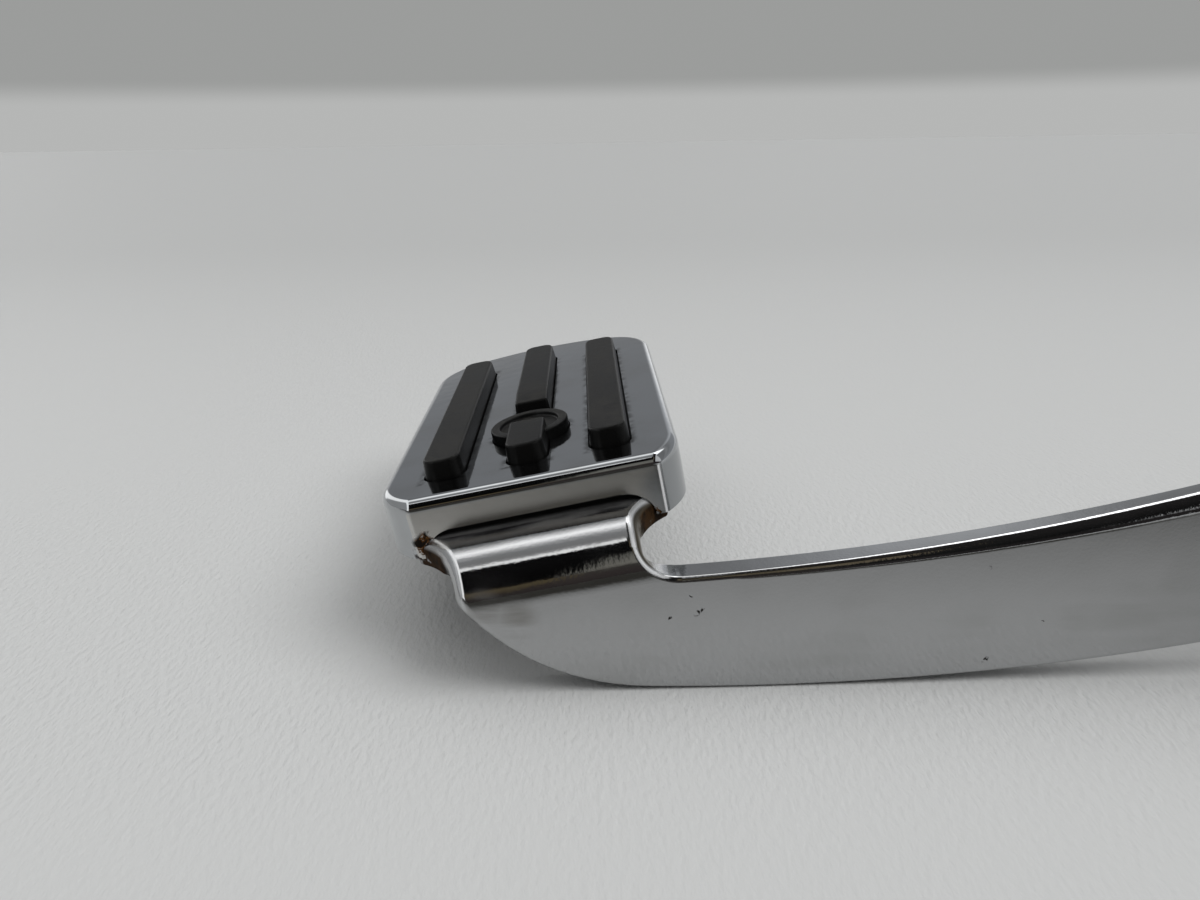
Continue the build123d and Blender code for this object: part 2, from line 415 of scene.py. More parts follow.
def armChromeFinish():
    look = armChrome
    finish, tree, shader, place = newFinish("armChrome", 1.0, look["specular"])
    padMm = padPlace(tree, place)
    clouds = noise(tree, place, *look["clouds"])
    streaks = noise(tree, place, *look["streaks"])
    haze = times(tree, ramp(tree, clouds, *look["hazeClouds"]), ramp(tree, streaks, *look["hazeStreaks"]))
    coat = layer(tree, haze, look["plate"], look["haze"])
    smears = spots(tree, padMm, look["smudges"], look["smudgeSoft"])
    smears = times(tree, smears, ramp(tree, streaks, *look["smudgeStreaks"]))
    coat = layer(tree, smears, coat, look["smudge"])
    along, _, up = axes(tree, padMm)
    level = vectorCalc(tree, "MULTIPLY", padMm, (1, 0, 1))
    sideways = axes(tree, coords(tree, "Normal"))[0]
    dull = spot(tree, level, look["notch"], look["notchReach"], look["notchSoft"])
    dull = times(tree, dull, ramp(tree, sideways, *look["notchLean"]))
    coat = layer(tree, dull, coat, look["notchDull"])
    # painted highlight: where the rims' rounding by the neck and the notch turns sideways, it gets a pale,
    # partly matt colour in place of bright edge reflections
    edges = []
    for x, z, reach, side, fromLean, fullLean in look["rimHighlights"]:
        lean = times(tree, sideways, side)
        faded = flip(tree, ramp(tree, lean, *look["rimHighlightFade"]))
        edge = times(tree, ramp(tree, lean, fromLean, fullLean), faded)
        edges.append(times(tree, edge, spot(tree, level, (x, 0, z), reach, look["rimHighlightSoft"])))
    wearAndSheen = times(tree, anyOf(tree, edges), ramp(tree, up, *look["rimHighlightHeight"]))
    coat = layer(tree, wearAndSheen, coat, look["rimHighlight"])
    specks = ramp(tree, noise(tree, place, *look["specks"]), *look["speckPeaks"])
    specks = times(tree, specks, ramp(tree, along, *look["specksAlong"]))
    specks = times(tree, specks, flip(tree, ramp(tree, axes(tree, place)[2], *look["specksTop"])))
    coat = coat[0], mixValue(tree, specks, coat[1], look["speckGloss"])
    frayed = frayedPlace(tree, place, padMm, look["frays"], look["fray"])
    pits = [(x, look["faceDepth"], z, radius) for x, z, radius in look["pits"]]
    pits = spots(tree, frayed, pits, look["pitSoft"])
    coat = layer(tree, pits, coat, look["pit"])
    patches = noise(tree, place, *look["patches"])
    rusty = spots(tree, frayed, look["rusty"], look["rustSoft"])
    rusty = times(tree, rusty, ramp(tree, patches, *look["rustPatches"]))
    rusty = times(tree, rusty, flip(tree, ramp(tree, up, *look["rustTop"])))
    stain = mixColour(tree, ramp(tree, patches, *look["crustPatches"]), look["rust"], look["crust"])
    colour, gloss = layer(tree, rusty, coat, (stain, look["rustGloss"]))
    notMetal = anyOf(tree, [
        rusty, pits, times(tree, smears, look["smudgeShare"]), times(tree, wearAndSheen, look["rimHighlightShare"])])
    relief = bump(tree, noise(tree, place, *look["waves"]), look["waveDepth"])
    relief = bump(tree, noise(tree, place, *look["ripples"]), look["rippleDepth"], relief)
    relief = bump(tree, specks, look["speckDepth"], relief)
    relief = bump(tree, times(tree, patches, rusty), look["rustDepth"], relief)
    feed(tree, shader, Base_Color=colour, Roughness=gloss, Metallic=flip(tree, notMetal), Normal=relief)
    return finish


# creases are (x, y, radius, share)
coverChrome = dict(
    plate=((0.47, 0.485, 0.5, 1), 0.05), dull=((0.41, 0.42, 0.425, 1), 0.12), specular=0.1,
    grimeAndShade=((0.009, 0.008, 0.007, 1), 0.16), wearAndSheen=((0.57, 0.56, 0.535, 1), 0.25),
    scuff=((0.35, 0.362, 0.372, 1), 0.16), paintedCreaseHighlight=((0.95, 0.96, 0.97, 1), 0.35), paintedCreaseHighlightMetal=0.25,
    rust=(0.1, 0.04, 0.008, 1), crust=(0.008, 0.005, 0.003, 1), rustGloss=0.7,
    clouds=(90.0, 5.0), dullClouds=(0.4, 0.75), ripples=(350.0, 2.0), rippleDepth=0.00002,
    grimeAndShadeReach=(0.1, 1.4), patches=(450.0, 5.0), grimeAndShadePatches=(0.38, 0.62), grimeAndShadeShare=0.8,
    wornDepth=(0.15, 0.3), wornTop=(-2.2, -1.6), scuffed=(22.8, 3.5, -6.0, 7.5), scuffSoft=0.4,
    creases=[(-19.19, 0.07, 0.35, 0.2), (20.95, 0.18, 0.32, 0.95)], creaseSoft=0.7, creaseTop=(-2.0, -1.4),
    rusty=[(-18.1, 0.0, -8.0, 2.5), (19.4, 0.0, -9.6, 0.9)], rustSoft=0.35, frays=(700.0, 4.0), fray=5.0,
    crumbs=(1100.0, 3.0), rustCrumbs=(0.34, 0.42), crustCrumbs=(0.42, 0.52),
)


# how far a place on the cover lies from the nearest bar or from the disc
def besideTread(tree, padMm):
    t = tread
    x, y, _ = axes(tree, padMm)
    lane = calc(tree, "ABSOLUTE", calc(tree, "WRAP", x, t["pitch"] / 2, -t["pitch"] / 2))
    outside = calc(tree, "SUBTRACT", calc(tree, "ABSOLUTE", x), t["pitch"] * 1.5)
    across = calc(tree, "MAXIMUM", calc(tree, "SUBTRACT", lane, t["root"] / 2), outside)
    before, beyond = calc(tree, "SUBTRACT", t["near"], y), calc(tree, "SUBTRACT", y, t["sideFar"])
    along = calc(tree, "MAXIMUM", before, beyond)
    fromDisc = vectorCalc(tree, "DISTANCE", padMm, (0, t["discPlace"], 0))
    rim = calc(tree, "SUBTRACT", fromDisc, t["disc"] / 2)
    return calc(tree, "MINIMUM", calc(tree, "MAXIMUM", across, along), rim)


def coverChromeFinish():
    look = coverChrome
    finish, tree, shader, place = newFinish("coverChrome", 1.0, look["specular"])
    padMm = padPlace(tree, place)
    dull = ramp(tree, noise(tree, place, *look["clouds"]), *look["dullClouds"])
    coat = layer(tree, dull, look["plate"], look["dull"])
    # painted shade and grime: near-black in patches right round the bars and the disc, fading out within
    # about one and a half millimetres
    grimeAndShade = flip(tree, ramp(tree, besideTread(tree, padMm), *look["grimeAndShadeReach"]))
    patches = noise(tree, place, *look["patches"])
    grimeAndShade = times(tree, grimeAndShade, ramp(tree, patches, *look["grimeAndShadePatches"]))
    coat = layer(tree, times(tree, grimeAndShade, look["grimeAndShadeShare"]), coat, look["grimeAndShade"])
    # the front wall has lost its shine below its upper edge
    _, deep, up = axes(tree, padMm)
    overWall = ramp(tree, up, *look["wornTop"])
    unworn = calc(tree, "ADD", ramp(tree, deep, *look["wornDepth"]), overWall, clamp=True)
    coat = layer(tree, unworn, look["wearAndSheen"], coat)
    scuffs = times(tree, spots(tree, padMm, [look["scuffed"]], look["scuffSoft"]), flip(tree, overWall))
    coat = layer(tree, scuffs, coat, look["scuff"])
    plan = vectorCalc(tree, "MULTIPLY", padMm, (1, 1, 0))
    # painted highlight: near-white, mostly non-metal lines down the corner creases at the front wall's ends
    paintedCreaseHighlight = anyOf(tree, [
        times(tree, spot(tree, plan, (x, y, 0), radius, look["creaseSoft"]), share)
        for x, y, radius, share in look["creases"]])
    paintedCreaseHighlight = times(tree, paintedCreaseHighlight, flip(tree, ramp(tree, up, *look["creaseTop"])))
    coat = layer(tree, paintedCreaseHighlight, coat, look["paintedCreaseHighlight"])
    metal = mixValue(tree, paintedCreaseHighlight, 1.0, look["paintedCreaseHighlightMetal"])
    frayed = frayedPlace(tree, place, padMm, look["frays"], look["fray"])
    crumbs = noise(tree, place, *look["crumbs"])
    rusty = spots(tree, frayed, look["rusty"], look["rustSoft"])
    rusty = times(tree, rusty, ramp(tree, crumbs, *look["rustCrumbs"]))
    stain = mixColour(tree, ramp(tree, crumbs, *look["crustCrumbs"]), look["rust"], look["crust"])
    colour, gloss = layer(tree, rusty, coat, (stain, look["rustGloss"]))
    relief = bump(tree, noise(tree, place, *look["ripples"]), look["rippleDepth"])
    metal = times(tree, metal, flip(tree, rusty))
    feed(tree, shader, Base_Color=colour, Roughness=gloss, Metallic=metal, Normal=relief)
    return finish


treadRubber = dict(
    black=((0.003, 0.003, 0.0029, 1), 0.4), dustAndSheen=((0.018, 0.0174, 0.0155, 1), 0.5), specular=0.17,
    smears=(55.0, 3.0), dustAndSheenSmears=(0.3, 0.62), scuffs=(420.0, 5.0), dustAndSheenScuffs=(0.25, 0.65),
    dustAndSheenTop=(0.75, 0.97), grain=(2600.0, 3.0), grainDepth=0.00003,
)


def treadRubberFinish():
    look = treadRubber
    finish, tree, shader, place = newFinish("treadRubber", 0.0, look["specular"])
    smears = ramp(tree, noise(tree, place, *look["smears"]), *look["dustAndSheenSmears"])
    scuffs = ramp(tree, noise(tree, place, *look["scuffs"]), *look["dustAndSheenScuffs"])
    # painted sheen and dust: faces turned upward get, in patches, a lighter grey than the black sides
    upward = ramp(tree, axes(tree, coords(tree, "Normal"))[2], *look["dustAndSheenTop"])
    dustAndSheen = times(tree, times(tree, smears, scuffs), upward)
    colour, gloss = layer(tree, dustAndSheen, look["black"], look["dustAndSheen"])
    relief = bump(tree, noise(tree, place, *look["grain"]), look["grainDepth"])
    feed(tree, shader, Base_Color=colour, Roughness=gloss, Normal=relief)
    return finish


zincSteel = dict(
    bright=((0.62, 0.62, 0.6, 1), 0.3), dull=((0.42, 0.42, 0.4, 1), 0.5), clouds=(400.0, 4.0),
    dullClouds=(0.35, 0.7), grain=(3000.0, 2.0), grainDepth=0.000005,
)


def zincSteelFinish():
    look = zincSteel
    finish, tree, shader, place = newFinish("zincSteel", 1.0)
    dull = ramp(tree, noise(tree, place, *look["clouds"]), *look["dullClouds"])
    colour, gloss = layer(tree, dull, look["bright"], look["dull"])
    relief = bump(tree, noise(tree, place, *look["grain"]), look["grainDepth"])
    feed(tree, shader, Base_Color=colour, Roughness=gloss, Normal=relief)
    return finish


bushBrass = dict(
    turned=((0.72, 0.53, 0.25, 1), 0.25), tarnish=((0.42, 0.29, 0.13, 1), 0.45), clouds=(250.0, 4.0),
    tarnishClouds=(0.4, 0.75), lines=1500.0, lineWaver=1.5, lineDepth=0.000005,
)


def bushBrassFinish():
    look = bushBrass
    finish, tree, shader, place = newFinish("bushBrass", 1.0)
    tarnish = ramp(tree, noise(tree, place, *look["clouds"]), *look["tarnishClouds"])
    colour, gloss = layer(tree, tarnish, look["turned"], look["tarnish"])
    lines = addNode(tree, "TexWave", {
        "Vector": place, "Scale": look["lines"], "Distortion": look["lineWaver"]}, bands_direction="Y")
    relief = bump(tree, lines.outputs["Fac"], look["lineDepth"])
    feed(tree, shader, Base_Color=colour, Roughness=gloss, Normal=relief)
    return finish


armFinish = armChromeFinish()
zincFinish = zincSteelFinish()
brassFinish = bushBrassFinish()
rubberFinish = treadRubberFinish()
print("finishes made")


# pad outlines

pad = dict(width=50.0, length=88.0, nearCorner=9.5, farCorner=14.0, bow=46.0)


def padArcs(inset):
    half = pad["width"] / 2
    x, y = padX, coverFront
    nearX, nearY = half - pad["nearCorner"], y + pad["nearCorner"]
    bowY = y + pad["length"] - pad["bow"]
    farX = half - pad["farCorner"]
    farUp = math.sqrt((pad["bow"] - pad["farCorner"]) ** 2 - farX ** 2)
    turn = math.degrees(math.atan2(farUp, farX))
    near = pad["nearCorner"] - inset
    far = pad["farCorner"] - inset
    return [
        (x + nearX, nearY, near, -90, 0),
        (x + farX, bowY + farUp, far, 0, turn),
        (x, bowY, pad["bow"] - inset, turn, 180 - turn),
        (x - farX, bowY + farUp, far, 180 - turn, 180),
        (x - nearX, nearY, near, 180, 270),
    ]


# places of the studs under the pad

studs = dict(diameter=6.0, near=40.0, far=64.0, across=14.0, holeClearance=0.3)
studHole = studs["diameter"] / 2 + studs["holeClearance"]


def studPlaces():
    x, y, half = padX, coverFront, studs["across"] / 2
    return [(x + half, y + studs["near"]), (x - half, y + studs["far"])]


# plate arm, drawn as the flat blank it is cut from and then bent

arm = dict(
    plate=5.0, front=10.5, bendRadius=8.5, bendZ=8.0, bendSteps=30, bentTo=-140.0,
    neckLeft=-183.0, neckRight=-154.0, neckCuts=6, leftFlareUp=4.0, rightFlareUp=9.6, leftFlare=18.0,
    rightFlare=11.0, leftFlareTurn=52.0, rightFlareTurn=122.8, platformInset=2.0, platformTurn=50.0,
    toeUp=3.5, toe=6.0, toeTurn=29.0, sole=38.0, soleTurn=48.2, belly=418.0,
    eye=17.0, blend=25.0, topX=-94.0, topUp=-3.7, top=427.0, notch=6.0, tubeHole=12.5,
    neckRound=2.0, lowerRound=0.9, backRound=0.8, topRoundLeft=0.8, topRoundRight=3.0, roundLead=3.0,
    neckRoundFrom=-9.0, neckRoundFull=2.0, notchRoundFull=9.0, topRoundFrom=-150.0, topRoundTo=-48.0,
    roundSteps=6,
)
# the bend's length on the blank, and what makes a depth on the pad a height on the blank
bendLength = arm["bendRadius"] * math.pi / 2
blankLift = bendLength - arm["front"] - arm["bendRadius"]


# centre of a circle that touches two others, given the distances to their centres
def touching(first, firstReach, second, secondReach):
    across = second - first
    apart = across.length
    along = (firstReach ** 2 - secondReach ** 2 + apart ** 2) / (2 * apart)
    off = math.sqrt(firstReach ** 2 - along ** 2)
    way = across / apart
    return first + way * along + Vector((-way.y, way.x)) * off


def heading(start, end):
    return math.degrees(math.atan2(end.y - start.y, end.x - start.x))


def pointing(degrees):
    return Vector((math.cos(math.radians(degrees)), math.sin(math.radians(degrees))))


def armArcs():
    a = arm
    eye = Vector((0, -a["bendZ"]))
    toe = Vector((a["neckLeft"] + a["toe"], a["toeUp"]))
    toeEnd = 180 + a["toeTurn"]
    soleEnd = toeEnd + a["soleTurn"]
    sole = toe - pointing(toeEnd) * (a["sole"] - a["toe"])
    belly = sole - pointing(soleEnd) * (a["belly"] - a["sole"])
    top = Vector((a["topX"], a["topUp"] + a["top"]))
    under = touching(eye, a["eye"] + a["blend"], belly, a["belly"] + a["blend"])
    over = touching(eye, a["eye"] + a["blend"], top, a["top"] - a["blend"])
    notchX = a["neckRight"] + a["notch"]
    notch = Vector((notchX, top.y - math.sqrt((a["top"] - a["notch"]) ** 2 - (notchX - top.x) ** 2)))
    bellyEnd = heading(belly, under) % 360
    right, farRight, bow, farLeft, left = [
        (x, y + blankLift, radius, start, end) for x, y, radius, start, end in padArcs(a["platformInset"])]
    return [
        (*toe, a["toe"], 180, toeEnd),
        (*sole, a["sole"], toeEnd, soleEnd),
        (*belly, a["belly"], soleEnd, bellyEnd),
        (*under, a["blend"], bellyEnd - 180, heading(under, eye)),
        (*eye, a["eye"], heading(eye, under), heading(eye, over)),
        (*over, a["blend"], heading(over, eye), heading(top, over)),
        (*top, a["top"], heading(top, over), heading(top, notch)),
        (*notch, a["notch"], heading(top, notch), -180),
        (a["neckRight"] + a["rightFlare"], a["rightFlareUp"], a["rightFlare"], 180, a["rightFlareTurn"]),
        (*right[:3], -a["platformTurn"], 0),
        farRight, bow, farLeft,
        (*left[:3], 180, 180 + a["platformTurn"]),
        (a["neckLeft"] - a["leftFlare"], a["leftFlareUp"], a["leftFlare"], a["leftFlareTurn"], 0),
    ]


def share(value, low, high):
    return min(1, max(0, (value - low) / (high - low)))


# how far the rim is rounded at a place on the blank
def armRounding(place):
    a = arm
    lower, neck, left, right = a["lowerRound"], a["neckRound"], a["topRoundLeft"], a["topRoundRight"]
    eyeY = -a["bendZ"]
    if place.z < -a["plate"] / 2:
        return a["backRound"]
    if place.x < padX:
        return lower + (neck - lower) * share(place.y, a["neckRoundFrom"], a["neckRoundFull"])
    if place.x < a["bentTo"] and place.y > eyeY:
        return left + (neck - left) * share(place.y, 0, a["notchRoundFull"])
    if place.x > -a["eye"] / 2:
        return lower + (right - lower) * share(place.y, eyeY - a["eye"], eyeY + a["eye"] - a["roundLead"])
    if place.x < a["neckRight"] or place.y < eyeY - a["roundLead"]:
        return lower
    return left + (right - left) * share(place.x, a["topRoundFrom"], a["topRoundTo"])


def roundRim(piece):
    a = arm
    # the neck's short sides get points, so that the rounding can change along them
    selectEdges(piece, lambda p, q: abs(p.z - q.z) < tiny and abs(p.x - q.x) < tiny
                and min(abs(p.x - a["neckLeft"]), abs(p.x - a["neckRight"])) < tiny)
    bpy.ops.mesh.subdivide(number_cuts=a["neckCuts"])
    leaveEdit()
    weights = piece.data.attributes.new("bevel_weight_edge", "FLOAT", "EDGE")
    points = [v.co for v in piece.data.vertices]
    for edge in piece.data.edges:
        p, q = points[edge.vertices[0]], points[edge.vertices[1]]
        if abs(p.z - q.z) < tiny:
            weights.data[edge.index].value = armRounding((p + q) / 2) / a["topRoundRight"]
    bevel = piece.modifiers.new("rim rounding", "BEVEL")
    bevel.width = a["topRoundRight"]
    bevel.segments = a["roundSteps"]
    bevel.limit_method = "WEIGHT"
    bevel.use_clamp_overlap = False
    applyModifiers(piece)


# the pad's end of the blank is cut into strips along the bend and then turned about it
def bendBlank(piece):
    a = arm
    edit(piece)
    bpy.ops.mesh.bisect(plane_co=(a["bentTo"], 0, 0), plane_no=(1, 0, 0))
    for step in range(a["bendSteps"] + 1):
        selectFaces(piece, lambda face: face.center.x < a["bentTo"])
        bpy.ops.mesh.bisect(plane_co=(0, bendLength * step / a["bendSteps"], 0), plane_no=(0, 1, 0))
    leaveEdit()
    bent = piece.vertex_groups.new(name="bent")
    bent.add([v.index for v in piece.data.vertices if v.co.x < a["bentTo"] - tiny], 1.0, "REPLACE")
    heights = [v.co.y for v in piece.data.vertices]
    low, high = min(heights), max(heights)
    clearSelection()
    bpy.ops.object.empty_add(rotation=(math.radians(-90), 0, 0))
    axis = bpy.context.object
    bend = piece.modifiers.new("bend", "SIMPLE_DEFORM")
    bend.deform_method = "BEND"
    bend.deform_axis = "X"
    bend.origin = axis
    bend.angle = math.radians(90)
    bend.limits = (-low / (high - low), (bendLength - low) / (high - low))
    bend.vertex_group = "bent"
    applyModifiers(piece)
    bpy.data.objects.remove(axis)


def makeArm():
    a = arm
    piece = drawSolid("pedalArm", armArcs(), -a["plate"], 0)
    roundRim(piece)
    holes = [(0, -a["bendZ"], a["tubeHole"])] + [(x, y + blankLift, studHole) for x, y in studPlaces()]
    for x, y, radius in holes:
        cutHole(piece, x, y, radius, -a["plate"] * 2, a["plate"])
    bendBlank(piece)
    movePiece(piece, Matrix.Translation((0, a["front"], a["bendZ"])) @ stoodUp)
    outwards(piece)
    seatPiece(piece, "pedal_arm", armFinish)


makeArm()


# tread pad

tread = dict(
    pitch=14.0, root=7.0, top=6.2, rise=3.3, near=7.4, sideFar=71.5, middleFar=75.5, nearEnd=21.0,
    farStart=32.5, endRound=2.4, squareRound=0.6, roundStep=6.0, edge=0.5, edgeSteps=4, stripEnd=38.5,
    stripDrop=0.45, disc=14.0, discPlace=22.8, discRise=2.0, recess=10.6, recessDepth=0.8, discEdge=0.35,
    discSteps=3, slabInset=1.5, slabLow=-6.8, slabHigh=-1.2, sink=0.1, holeLow=-10.0,
)


# place across the pad, near end, far end, and the corner rounding at each
def barSpans():
    t = tread
    full, square = t["endRound"], t["squareRound"]
    return [
        (-t["pitch"], t["near"], t["sideFar"], full, full),
        (0, t["near"], t["nearEnd"], full, square),
        (0, t["farStart"], t["middleFar"], square, full),
        (t["pitch"], t["near"], t["sideFar"], full, full),
    ]


def barArcs(span, grow):
    across, near, far, nearRound, farRound = span
    x, y, half = padX + across, coverFront, tread["root"] / 2
    return [
        (x + half - nearRound, y + near + nearRound, nearRound + grow, -90, 0),
        (x + half - farRound, y + far - farRound, farRound + grow, 0, 90),
        (x - half + farRound, y + far - farRound, farRound + grow, 90, 180),
        (x - half + nearRound, y + near + nearRound, nearRound + grow, 180, 270),
    ]


def discArcs(diameter):
    return circleArcs(padX, coverFront + tread["discPlace"], diameter / 2)


def makeBar(span):
    t = tread
    across, near, far = span[:3]
    low, top = coverTop + t["slabHigh"] - t["sink"], coverTop + t["rise"]
    bar = drawSolid("bar", barArcs(span, 0), low, top, t["roundStep"])
    selectFaces(bar, lambda face: face.normal.z > facingUp)
    length = far - near
    taper = t["root"] - t["top"]
    bpy.ops.transform.resize(
        value=(t["top"] / t["root"], (length - taper) / length, 1),
        center_override=(padX + across, coverFront + (near + far) / 2, top))
    selectCreases(bar, top)
    rollSelected(t["edge"], t["edgeSteps"])
    return bar


# the near end of the far half bar lies a little lower than the rest
def dropStrip(bar):
    t = tread
    front, half = coverFront, coverTop + t["rise"] / 2
    edit(bar)
    bpy.ops.mesh.bisect(plane_co=(0, front + t["stripEnd"], 0), plane_no=(0, 1, 0))
    selectPoints(bar, lambda p: p.y < front + t["farStart"] + t["endRound"] and p.z > half)
    bpy.ops.transform.translate(value=(0, 0, -t["stripDrop"]))
    leaveEdit()


def makeRubber():
    t = tread
    top = coverTop
    rubber = drawSolid("padRubber", padArcs(t["slabInset"]), top + t["slabLow"], top + t["slabHigh"])
    disc = drawSolid("disc", discArcs(t["disc"]), top + t["slabHigh"] - t["sink"], top + t["discRise"])
    selectFaces(disc, lambda face: face.normal.z > facingUp)
    bpy.ops.mesh.inset(thickness=(t["disc"] - t["recess"]) / 2)
    extrudeBy((0, 0, -t["recessDepth"]))
    selectCreases(disc, top + t["discRise"])
    rollSelected(t["discEdge"], t["discSteps"])
    combine(rubber, disc, "UNION")
    for span in barSpans():
        bar = makeBar(span)
        if span[1] == t["farStart"]:
            dropStrip(bar)
        combine(rubber, bar, "UNION")
    for x, y in studPlaces():
        cutHole(rubber, x, y, studHole, top + t["holeLow"], top + t["slabHigh"])
    outwards(rubber)
    seatPiece(rubber, "pad_rubber", rubberFinish)


makeRubber()


# pad cover

cover = dict(
    height=10.0, wall=1.2, edge=1.8, edgeSteps=8, creaseLeft=19.2, creaseRight=21.0, creaseRound=1.9,
    cornerRun=9.5, archLeft=18.2, archRight=19.4, archTop=17.6, archCorner=5.0, archRim=0.25, rimSteps=3,
    slotGap=0.2, slotReach=5.0,
)
coverFinish = coverChromeFinish()


# the near corner on one side: a bend from the side wall to the crease at the front wall's end
def cornerArcs(crease):
    x, y = padX, coverFront
    run, rounding = cover["cornerRun"], cover["creaseRound"]
    cut = pad["width"] / 2 - crease
    bend = (run ** 2 + cut ** 2) / (2 * cut)
    middle = pad["width"] / 2 - bend
    out = math.sqrt((bend - rounding) ** 2 - (run - rounding) ** 2)
    turn = math.degrees(math.atan2(run - rounding, out))
    return (x + middle + out, y + rounding, rounding, -90, -turn), (x + middle, y + run, bend, -turn, 0)


def mirrorArc(arc):
    return 2 * padX - arc[0], arc[1], arc[2], 180 - arc[4], 180 - arc[3]


def coverArcs():
    right = cornerArcs(cover["creaseRight"])
    left = [mirrorArc(arc) for arc in cornerArcs(cover["creaseLeft"])]
    return [*right, *padArcs(0)[1:4], left[1], left[0]]


def makeArch():
    c = cover
    x, corner = padX, c["archCorner"]
    left, right = x - c["archLeft"] + corner, x + c["archRight"] - corner
    low, high = coverTop - 2 * c["height"], c["archTop"] - corner
    arcs = [
        (right, low, corner, -90, 0), (right, high, corner, 0, 90),
        (left, high, corner, 90, 180), (left, low, corner, 180, 270),
    ]
    arch = drawSolid("arch", arcs, 0, pad["nearCorner"] + overcut)
    movePiece(arch, Matrix.Translation((0, coverFront + pad["nearCorner"], 0)) @ stoodUp)
    return arch


# whether a point lies on the arch's rim in the front wall
def onArchRim(p):
    c = cover
    inFront = abs(p.y - coverFront) < tiny
    inHeight = coverTop - c["height"] + tiny < p.z < c["archTop"] + tiny
    return inFront and inHeight and -c["archLeft"] - tiny < p.x - padX < c["archRight"] + tiny


def makeCover():
    c = cover
    top = coverTop
    shell = drawSolid("padCover", coverArcs(), top - c["height"], top)
    selectFaces(shell, lambda face: face.normal.z < -facingUp)
    bpy.ops.mesh.delete(type="ONLY_FACE")
    selectCreases(shell, top)
    rollSelected(c["edge"], c["edgeSteps"])
    wall = shell.modifiers.new("wall", "SOLIDIFY")
    wall.thickness = c["wall"]
    wall.offset = -1
    wall.use_even_offset = True
    applyModifiers(shell)
    low, high = top - c["slotReach"], top + c["slotReach"]
    for span in barSpans():
        cutAway(shell, drawSolid("slot", barArcs(span, c["slotGap"]), low, high, tread["roundStep"]))
    cutAway(shell, drawSolid("slot", discArcs(tread["disc"] + 2 * c["slotGap"]), low, high))
    cutAway(shell, makeArch())
    selectEdges(shell, lambda p, q: onArchRim(p) and onArchRim(q))
    rollSelected(c["archRim"], c["rimSteps"])
    seatPiece(shell, "pad_cover", coverFinish)


makeCover()


# pivot tube, bushes and rod lever, turned or drawn about Z and then laid along the pivot axis

# the weld's section is (outwards, along) in shares of its leg
pivot = dict(
    tube=25.0, length=39.0, bush=19.0, bushLength=14.0, bore=16.04, fitGap=0.02, tubeEdge=0.8, bushEdge=0.6,
    leverPlate=5.0, leverInset=3.0, leverLength=29.5, leverTip=9.0, leverEye=16.5, rodHole=8.2,
    leverRound=0.6, leverSteps=4, weldLeg=2.5, weldSection=[(0, 0), (1, 0), (0.84, 0.4), (0.44, 0.8), (0, 1)],
    weldLobes=40, lobeSteps=4, lobeOut=1.018, lobeUp=1.09, weldSmooth=60,
)


def ringProfile(inner, outer, low, high, edge, innerEdge):
    return [
        (inner, low + innerEdge), (inner + innerEdge, low), (outer - edge, low), (outer, low + edge),
        (outer, high - edge), (outer - edge, high), (inner + innerEdge, high), (inner, high - innerEdge),
    ]


def makeTube():
    q = pivot
    half = q["length"] / 2
    profile = ringProfile(q["bush"] / 2, q["tube"] / 2, -half, half, q["tubeEdge"], q["tubeEdge"] / 2)
    tube = turnProfile("pivotTube", profile)
    movePiece(tube, laidAlong)
    seatPiece(tube, "pivot_tube", armFinish)


def makeBush(name, node, low):
    q = pivot
    outer = q["bush"] / 2 - q["fitGap"]
    profile = ringProfile(q["bore"] / 2, outer, low, low + q["bushLength"], q["bushEdge"] / 3, q["bushEdge"])
    bush = turnProfile(name, profile)
    movePiece(bush, laidAlong)
    seatPiece(bush, node, brassFinish)


def makeLever():
    q = pivot
    tip = -q["leverLength"]
    turn = math.degrees(math.asin((q["leverEye"] - q["leverTip"]) / q["leverLength"]))
    arcs = [(0, 0, q["leverEye"], -turn, 180 + turn), (0, tip, q["leverTip"], 180 + turn, 360 - turn)]
    near = q["length"] / 2 - q["leverInset"]
    far = near - q["leverPlate"]
    lever = drawSolid("rodLever", arcs, far, near)
    for y, diameter in ((0, q["tube"]), (tip, q["rodHole"])):
        cutHole(lever, 0, y, diameter / 2, far - overcut, near + overcut)
    roundSharp(lever, q["leverRound"], q["leverSteps"])
    movePiece(lever, stoodUp)
    seatPiece(lever, "rod_lever", armFinish, tilted=False)


# a fillet bead round the tube, with the small lobes of hand welding
def makeBead():
    q = pivot
    tube, leg, steps = q["tube"] / 2, q["weldLeg"], q["weldLobes"] * q["lobeSteps"]
    profile = [(tube + leg * out, leg * along) for out, along in q["weldSection"]]
    bead = turnProfile("weldBeads", profile, steps)
    selectPoints(bead, lambda p: round(math.atan2(p.y, p.x) / math.tau * steps) % q["lobeSteps"] == 0)
    bpy.ops.transform.resize(value=(q["lobeOut"], q["lobeOut"], q["lobeUp"]))
    leaveEdit()
    return bead


def makeWelds():
    q = pivot
    face = arm["front"]
    welds = makeBead()
    movePiece(welds, Matrix.Translation((0, face, 0)) @ stoodUp)
    edit(welds)
    leverFace = q["leverInset"] + q["leverPlate"] - q["length"] / 2
    bpy.ops.mesh.duplicate_move(TRANSFORM_OT_translate={"value": (0, leverFace - face, 0)})
    bpy.ops.transform.rotate(value=math.pi, orient_axis="X", center_override=(0, leverFace, 0))
    outwards(welds)
    seatPiece(welds, "weld_beads", armFinish, tilted=False, smoothAngle=q["weldSmooth"])


makeTube()
makeBush("inboardBush", "inboard_bush", -pivot["length"] / 2)
makeBush("outboardBush", "outboard_bush", pivot["length"] / 2 - pivot["bushLength"])
makeLever()
makeWelds()


# studs, washers and nuts under the platform, each made once about Z and copied to the second stud

